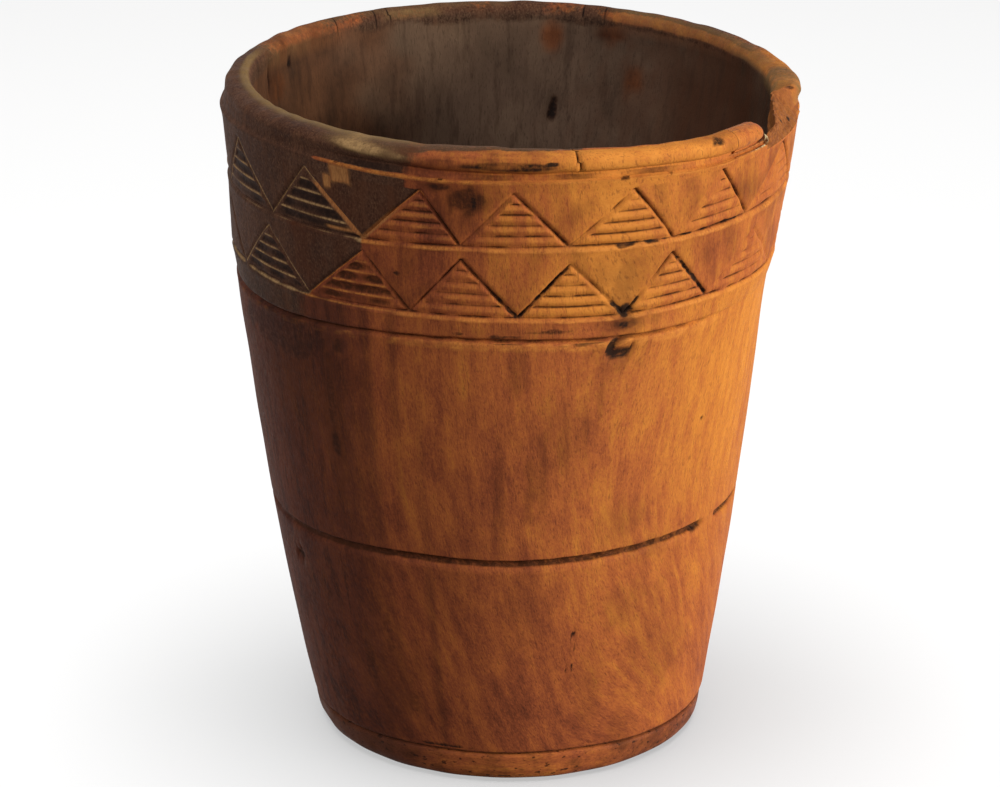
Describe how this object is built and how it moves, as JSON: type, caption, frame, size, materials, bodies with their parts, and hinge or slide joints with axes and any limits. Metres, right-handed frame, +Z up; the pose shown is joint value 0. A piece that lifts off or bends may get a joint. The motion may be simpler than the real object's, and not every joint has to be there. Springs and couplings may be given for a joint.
{
  "type": "wooden beaker",
  "caption": "Tapered hand-carved wooden beaker with a rolled rim, a carved band of hatched triangles, scored lines round the body and a plugged base; holds drink.",
  "frame": {"origin": "centre of the flat that the beaker stands on", "axes": "+Z up along the axis of the beaker; -Y is the front seen in the picture; +X is the side of the mended rim"},
  "size_m": [0.146, 0.146, 0.1705],
  "materials": {
    "carved_wood": "worn satin, oiled by handling, dark patina in the carving",
    "base_wood": "worn satin, blotched by standing",
    "dark_pitch": "dull black natural pitch",
    "mended_wood": "worn satin, polished by handling",
    "set_glue": "dull set glue"
  },
  "bodies": {
    "root": {"beaker_wall": "carved_wood", "base_plug": "base_wood", "seam_pitch": "dark_pitch", "rim_fragment": "mended_wood", "rim_glue": "set_glue"}
  },
  "joints": []
}
